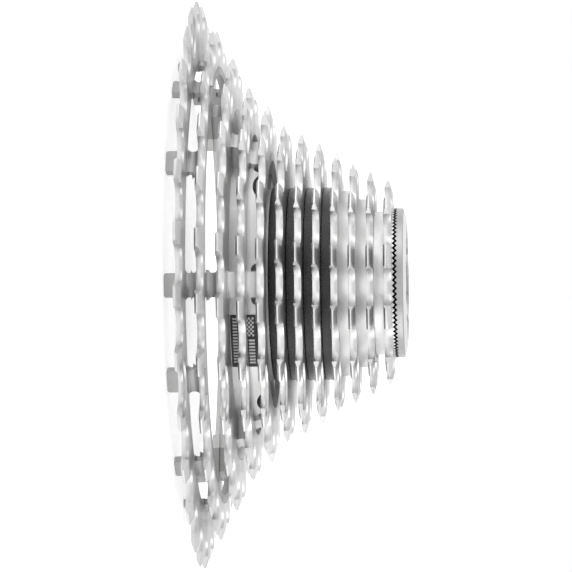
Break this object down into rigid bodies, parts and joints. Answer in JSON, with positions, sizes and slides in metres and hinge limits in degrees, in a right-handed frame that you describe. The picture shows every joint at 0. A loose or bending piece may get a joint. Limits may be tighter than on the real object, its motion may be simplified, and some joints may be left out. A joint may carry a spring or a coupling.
{
  "type": "bicycle cassette",
  "caption": "Stack of toothed chain sprockets, large to small, on a machined finger carrier, with black spacers and a serrated, domed lock ring.",
  "frame": {"origin": "on the axis, in the plane of the carrier's finger ends, on which the cassette lies", "axes": "+Z along the axis from the largest sprocket to the smallest, towards the outboard side; -Y is the side with the label"},
  "size_m": [0.1231, 0.1231, 0.0482],
  "materials": {
    "sprocket_steel": "fine satin plating",
    "carrier_aluminium": "bead blasted and anodised grey",
    "spacer_plastic": "moulded, slight sheen",
    "lockring_steel": "turned",
    "label_film": "printed film"
  },
  "bodies": {
    "carrier_group": {"carrier": "carrier_aluminium", "label": "label_film", "sprocket_29t": "sprocket_steel", "sprocket_26t": "sprocket_steel", "sprocket_23t": "sprocket_steel", "sprocket_20t": "sprocket_steel", "sprocket_18t": "sprocket_steel"},
    "loose_16t": {"sprocket_16t": "sprocket_steel", "spacer_inside_16t": "spacer_plastic"},
    "loose_15t": {"sprocket_15t": "sprocket_steel", "spacer_inside_15t": "spacer_plastic"},
    "loose_14t": {"sprocket_14t": "sprocket_steel", "spacer_inside_14t": "spacer_plastic"},
    "loose_13t": {"sprocket_13t": "sprocket_steel", "spacer_inside_13t": "spacer_plastic"},
    "loose_12t": {"sprocket_12t": "sprocket_steel"},
    "loose_11t": {"sprocket_11t": "sprocket_steel"},
    "loose_10t": {"sprocket_10t": "sprocket_steel"},
    "lock_ring": {"lock_ring": "lockring_steel"}
  },
  "joints": [
    {"name": "slide_16t", "type": "slide", "parent": "carrier_group", "child": "loose_16t", "axis": [0, 0, 1], "range_m": [0, 0.008]},
    {"name": "slide_15t", "type": "slide", "parent": "loose_16t", "child": "loose_15t", "axis": [0, 0, 1], "range_m": [0, 0.008]},
    {"name": "slide_14t", "type": "slide", "parent": "loose_15t", "child": "loose_14t", "axis": [0, 0, 1], "range_m": [0, 0.008]},
    {"name": "slide_13t", "type": "slide", "parent": "loose_14t", "child": "loose_13t", "axis": [0, 0, 1], "range_m": [0, 0.008]},
    {"name": "slide_12t", "type": "slide", "parent": "loose_13t", "child": "loose_12t", "axis": [0, 0, 1], "range_m": [0, 0.008]},
    {"name": "slide_11t", "type": "slide", "parent": "loose_12t", "child": "loose_11t", "axis": [0, 0, 1], "range_m": [0, 0.008]},
    {"name": "lockring_travel", "type": "slide", "parent": "loose_11t", "child": "loose_10t", "axis": [0, 0, 1], "range_m": [0, 0.0042]},
    {"name": "lockring_turn", "type": "hinge", "parent": "loose_10t", "child": "lock_ring", "pos_m": [0, 0, 0.0464], "axis": [0, 0, 1], "range_deg": [0, 1440]}
  ],
  "couplings": [
    {"joint": "lockring_travel", "follows": "lockring_turn", "m_per_rad": 0.00015915}
  ]
}
